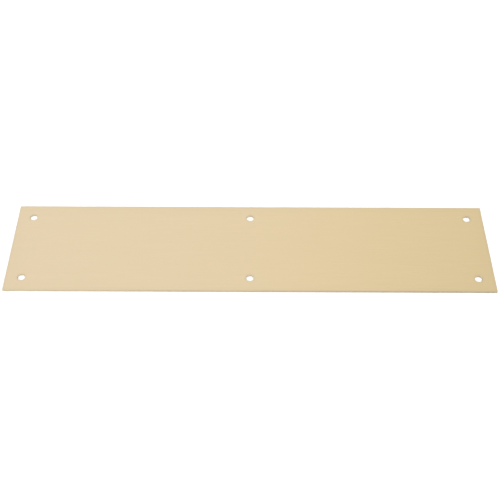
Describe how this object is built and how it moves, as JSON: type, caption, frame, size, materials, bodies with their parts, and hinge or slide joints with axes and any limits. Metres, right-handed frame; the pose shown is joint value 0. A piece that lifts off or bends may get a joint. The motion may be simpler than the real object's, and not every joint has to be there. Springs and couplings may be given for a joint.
{
  "type": "kick plate",
  "caption": "Flat rectangular door kick plate in satin brass with plain round screw holes at its corners and at the middle of its long edges.",
  "frame": {"origin": "middle of the flat mounting face, the face that goes against the door", "axes": "+X along the plate's length, +Y across its width, +Z out of the show face, away from the door"},
  "size_m": [0.381, 0.0888, 0.0016],
  "materials": {
    "satin_brass": "satin, brushed along the length, with a clear lacquer"
  },
  "bodies": {
    "root": {"plate": "satin_brass"}
  },
  "joints": []
}
